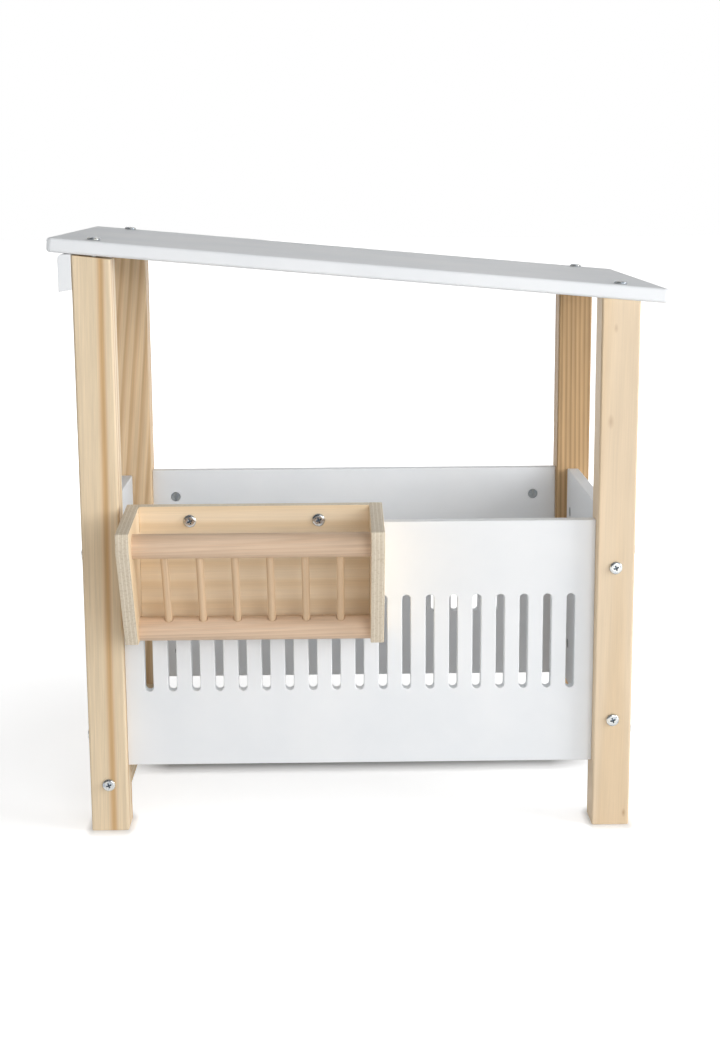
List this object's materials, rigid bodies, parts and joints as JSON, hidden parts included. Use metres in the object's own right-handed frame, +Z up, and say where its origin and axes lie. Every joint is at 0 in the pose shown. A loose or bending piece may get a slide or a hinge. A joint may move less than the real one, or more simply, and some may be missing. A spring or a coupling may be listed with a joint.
{
  "type": "toy barn with opening doors",
  "caption": "Open timber-framed toy barn with white slatted walls, a sloping roof board, a pair of hinged doors with a turn button and a lift-off hay rack.",
  "frame": {"origin": "bottom centre of the whole outline, on the surface the four posts stand on", "axes": "+X towards the low right end, -X towards the doors, -Y towards the front with the hay rack, +Z up"},
  "size_m": [0.5574, 0.4239, 0.5561],
  "materials": {
    "white_board": "smooth white painted fibreboard, satin",
    "pine": "planed pine with clear matt oil",
    "beech": "sanded beech, clear matt oil",
    "plywood": "birch-faced plywood with sanded edges",
    "zinc_steel": "bright zinc plate"
  },
  "bodies": {
    "frame": {"roof_panel": "white_board", "roof_bolts": "zinc_steel", "header_board": "white_board", "header_screws": "zinc_steel", "post_front_left": "pine", "post_rear_left": "pine", "post_front_right": "pine", "post_rear_right": "pine", "front_side_panel": "white_board", "rear_side_panel": "white_board", "right_end_panel": "white_board", "bottom_cross_rail": "pine", "side_panel_bolts": "zinc_steel", "side_panel_barrel_nuts": "zinc_steel", "end_panel_bolts": "zinc_steel", "end_panel_barrel_nuts": "zinc_steel", "rail_bolts": "zinc_steel", "rail_barrel_nuts": "zinc_steel", "hinge_post_leaves": "zinc_steel", "hinge_pins": "zinc_steel", "hinge_post_screws": "zinc_steel"},
    "front_door": {"front_door_leaf": "white_board", "front_door_hinge_leaves": "zinc_steel", "front_door_hinge_screws": "zinc_steel", "front_door_knob": "beech", "front_door_knob_screw": "zinc_steel", "turn_button_screw": "zinc_steel"},
    "turn_button": {"turn_button": "beech"},
    "rear_door": {"rear_door_leaf": "white_board", "rear_door_hinge_leaves": "zinc_steel", "rear_door_hinge_screws": "zinc_steel", "rear_door_knob": "beech", "rear_door_knob_screw": "zinc_steel"},
    "hay_rack": {"rack_back_board": "plywood", "rack_left_bracket": "plywood", "rack_right_bracket": "plywood", "rack_top_rail": "beech", "rack_bottom_rail": "beech", "rack_spindles": "beech", "rack_bolts": "zinc_steel", "rack_sleeves": "zinc_steel", "rack_rear_cleat": "plywood", "rack_insert_nuts": "zinc_steel", "rack_screws": "zinc_steel"}
  },
  "joints": [
    {"name": "front_door_hinge", "type": "hinge", "parent": "frame", "child": "front_door", "pos_m": [-0.25967, -0.08985, 0.175], "axis": [0, 0, 1], "range_deg": [0, 170]},
    {"name": "rear_door_hinge", "type": "hinge", "parent": "frame", "child": "rear_door", "pos_m": [-0.25967, 0.17365, 0.175], "axis": [0, 0, -1], "range_deg": [0, 170]},
    {"name": "turn_button_pivot", "type": "hinge", "parent": "front_door", "child": "turn_button", "pos_m": [-0.26087, 0.02965, 0.22], "axis": [1, 0, 0], "range_deg": [0, 90]},
    {"name": "hay_rack_lift", "type": "slide", "parent": "frame", "child": "hay_rack", "axis": [0, 0, 1], "range_m": [0, 0.04]}
  ]
}
